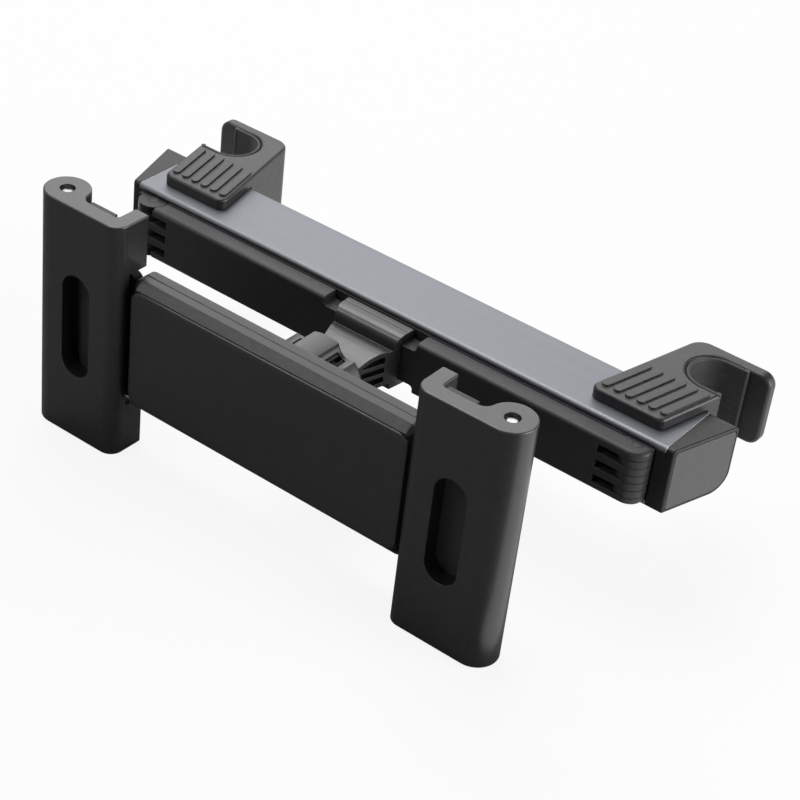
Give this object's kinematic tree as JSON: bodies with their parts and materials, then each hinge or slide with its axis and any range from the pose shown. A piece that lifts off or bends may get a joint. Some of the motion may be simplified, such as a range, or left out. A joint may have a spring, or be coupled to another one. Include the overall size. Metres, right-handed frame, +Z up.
{
  "type": "headrest tablet mount",
  "caption": "Rail that clips between car headrest rods with sprung hooks and carries a folding arm, a ball joint and a spring-loaded tablet clamp with fold-out jaws.",
  "frame": {"origin": "midway between the two headrest rods, at the middle of the rail's height", "axes": "+X along the rail to the passenger's right, +Y towards the headrest rods, +Z up"},
  "size_m": [0.1974, 0.1, 0.0728],
  "materials": {
    "anodised_aluminium": "fine satin anodising",
    "black_plastic": "fine spark-eroded satin",
    "end_plate_plastic": "smooth satin",
    "arm_plastic": "glass-filled, fine matte grain",
    "inner_plastic": "plain moulded",
    "soft_rubber": "matte, faint moulded grain",
    "steel": "plain drawn wire and bar",
    "ball_metal": "black coated steel"
  },
  "bodies": {
    "rail": {"aluminium_rail": "anodised_aluminium", "left_end_cap": "black_plastic", "right_end_cap": "black_plastic", "left_end_plate": "end_plate_plastic", "right_end_plate": "end_plate_plastic", "end_cap_screws": "steel", "spring_stop": "inner_plastic", "spring_stop_screw": "steel", "link_hinge_pin": "steel", "left_hook_spring": "steel", "right_hook_spring": "steel"},
    "left_hook": {"left_hook": "black_plastic", "left_hook_liner": "soft_rubber", "left_hook_carriage": "inner_plastic", "left_hook_screw": "steel"},
    "right_hook": {"right_hook": "black_plastic", "right_hook_liner": "soft_rubber", "right_hook_carriage": "inner_plastic", "right_hook_screw": "steel"},
    "inner_link": {"inner_link": "arm_plastic"},
    "front_arm": {"front_arm": "arm_plastic", "arm_hinge_pin": "steel", "arm_bracket": "arm_plastic", "bracket_screws": "steel", "ball_stud": "ball_metal"},
    "ball_seat": {"ball_seat": "inner_plastic"},
    "lock_nut": {"lock_nut": "arm_plastic"},
    "holder": {"holder_back": "black_plastic", "holder_front": "black_plastic", "front_pad": "soft_rubber", "holder_screws": "steel", "left_jaw_spring": "steel", "right_jaw_spring": "steel"},
    "pinion": {"rack_pinion": "inner_plastic"},
    "left_slider": {"left_slider": "inner_plastic"},
    "right_slider": {"right_slider": "inner_plastic"},
    "left_jaw": {"left_jaw": "black_plastic", "left_jaw_pad": "soft_rubber", "left_jaw_pin": "steel"},
    "right_jaw": {"right_jaw": "black_plastic", "right_jaw_pad": "soft_rubber", "right_jaw_pin": "steel"}
  },
  "joints": [
    {"name": "left_hook_slide", "type": "slide", "parent": "rail", "child": "left_hook", "axis": [1, 0, 0], "range_m": [0, 0.022], "stiffness_N_per_m": 150, "springref_m": -0.03, "deforming": ["left_hook_spring"]},
    {"name": "right_hook_slide", "type": "slide", "parent": "rail", "child": "right_hook", "axis": [-1, 0, 0], "range_m": [0, 0.022], "stiffness_N_per_m": 150, "springref_m": -0.03, "deforming": ["right_hook_spring"]},
    {"name": "inner_link_swing", "type": "hinge", "parent": "rail", "child": "inner_link", "pos_m": [-0.0828, -0.0357, 0], "axis": [0, 0, 1], "range_deg": [-90, 0]},
    {"name": "front_arm_swing", "type": "hinge", "parent": "inner_link", "child": "front_arm", "pos_m": [0.0828, -0.0357, 0], "axis": [0, 0, 1], "range_deg": [0, 90]},
    {"name": "ball_pan", "type": "hinge", "parent": "front_arm", "child": "ball_seat", "pos_m": [0, -0.065, -0.002], "axis": [0, 0, 1], "range_deg": [-10, 10]},
    {"name": "ball_tilt", "type": "hinge", "parent": "ball_seat", "child": "lock_nut", "pos_m": [0, -0.065, -0.002], "axis": [1, 0, 0], "range_deg": [-15, 15]},
    {"name": "holder_spin", "type": "hinge", "parent": "lock_nut", "child": "holder", "pos_m": [0, -0.065, -0.002], "axis": [0, 1, 0], "continuous": true},
    {"name": "left_jaw_slide", "type": "slide", "parent": "holder", "child": "left_slider", "axis": [-1, 0, 0], "range_m": [0, 0.028], "stiffness_N_per_m": 150, "springref_m": -0.02, "deforming": ["left_jaw_spring"]},
    {"name": "right_jaw_slide", "type": "slide", "parent": "holder", "child": "right_slider", "axis": [1, 0, 0], "range_m": [0, 0.028], "deforming": ["right_jaw_spring"]},
    {"name": "pinion_spin", "type": "hinge", "parent": "holder", "child": "pinion", "pos_m": [0, -0.0818, -0.002], "axis": [0, -1, 0], "range_deg": [-1, 325]},
    {"name": "left_jaw_fold", "type": "hinge", "parent": "left_slider", "child": "left_jaw", "pos_m": [-0.072, -0.0818, -0.002], "axis": [0, 0, 1], "range_deg": [-90, 0]},
    {"name": "right_jaw_fold", "type": "hinge", "parent": "right_slider", "child": "right_jaw", "pos_m": [0.072, -0.0818, -0.002], "axis": [0, 0, 1], "range_deg": [0, 90]}
  ],
  "couplings": [
    {"joint": "right_jaw_slide", "follows": "left_jaw_slide", "ratio": 1},
    {"joint": "pinion_spin", "follows": "left_jaw_slide", "rad_per_m": 200}
  ]
}
